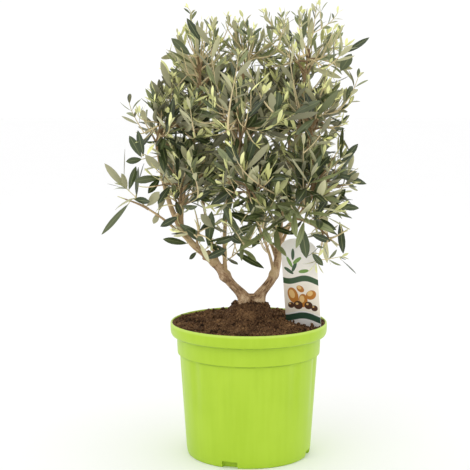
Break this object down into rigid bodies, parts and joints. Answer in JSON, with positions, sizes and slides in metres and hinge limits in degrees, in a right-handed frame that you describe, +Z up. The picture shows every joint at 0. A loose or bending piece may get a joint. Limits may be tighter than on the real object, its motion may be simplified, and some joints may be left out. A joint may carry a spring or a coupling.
{
  "type": "potted olive tree",
  "caption": "Young bushy olive tree with a short forked trunk and narrow silvery leaves, standing in a stepped lime-green nursery pot with a plant label.",
  "frame": {"origin": "centre of the pot's flat underside", "axes": "+Z up; -Y towards the viewer of the plant's front; +X to the viewer's right"},
  "size_m": [0.3454, 0.2528, 0.5971],
  "materials": {
    "pot_plastic": "moulded lime-green plastic with a soft gloss",
    "soil": "dark crumbly potting soil",
    "bark": "matt brown bark, paler on young shoots",
    "foliage": "leathery leaves, dark grey-green above and silvery below",
    "label_card": "printed plastic card with a soft gloss"
  },
  "bodies": {
    "root": {"pot": "pot_plastic", "soil": "soil", "label": "label_card", "trunk": "bark", "bough_left": "bark", "bough_right": "bark", "limb_left_outer": "bark", "limb_left_spray": "bark", "limb_left_lead": "bark", "limb_low_left": "bark", "limb_skirt_left": "bark", "limb_back_left": "bark", "limb_back_low_left": "bark", "limb_centre_lead": "bark", "limb_front_middle": "bark", "limb_low_front": "bark", "limb_back_low": "bark", "limb_right_lead": "bark", "limb_shoulder_right": "bark", "limb_low_right": "bark", "limb_droop_right": "bark", "limb_back_right": "bark", "limb_back_low_right": "bark", "foliage_top_left": "foliage", "foliage_top_middle": "foliage", "foliage_top_right": "foliage", "foliage_shoulder_left": "foliage", "foliage_front_middle": "foliage", "foliage_shoulder_right": "foliage", "foliage_left_spray": "foliage", "foliage_low_left": "foliage", "foliage_low_front": "foliage", "foliage_low_right": "foliage", "foliage_droop_right": "foliage", "foliage_skirt_left": "foliage", "foliage_back_left": "foliage", "foliage_back_right": "foliage", "foliage_back_low_left": "foliage", "foliage_back_low": "foliage", "foliage_back_low_right": "foliage"}
  },
  "joints": []
}
